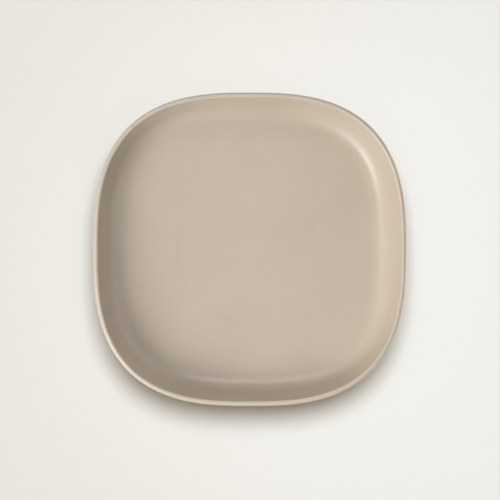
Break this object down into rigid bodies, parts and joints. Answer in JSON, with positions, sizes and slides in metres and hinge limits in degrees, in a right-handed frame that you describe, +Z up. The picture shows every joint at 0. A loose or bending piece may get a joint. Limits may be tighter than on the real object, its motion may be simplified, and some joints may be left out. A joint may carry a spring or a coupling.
{
  "type": "suction plate",
  "caption": "Soft-square child's plate with a deep curved side and round rim, on a twist-lock silicone suction base with a release tab.",
  "frame": {"origin": "middle of the table face, under the plate's centre", "axes": "+Z up out of the plate, -Y towards the release tab, +X to the right seen from the tab's side"},
  "size_m": [0.2, 0.2, 0.0368],
  "materials": {
    "plate_plastic": "fine matte",
    "base_plastic": "fine matte",
    "silicone": "soft matte"
  },
  "bodies": {
    "plate": {"plate": "plate_plastic", "socket_ring": "base_plastic"},
    "suction_base": {"twist_hub": "base_plastic", "clamp_plate": "base_plastic", "suction_cup": "silicone", "cup_skirt": "silicone"},
    "sealing_lip": {"sealing_lip": "silicone"},
    "release_tab": {"release_tab": "silicone"}
  },
  "joints": [
    {"name": "base_twist", "type": "hinge", "parent": "plate", "child": "suction_base", "pos_m": [0, 0, 0.0043], "axis": [0, 0, 1], "range_deg": [-40, 0]},
    {"name": "lip_press", "type": "slide", "parent": "suction_base", "child": "sealing_lip", "axis": [0, 0, 1], "range_m": [0, 0.0024], "deforming": ["cup_skirt"]},
    {"name": "tab_lift", "type": "hinge", "parent": "sealing_lip", "child": "release_tab", "pos_m": [0, -0.0588, 0.0011], "axis": [-1, 0, 0], "range_deg": [0, 22], "stiffness_Nm_per_rad": 0.006}
  ]
}
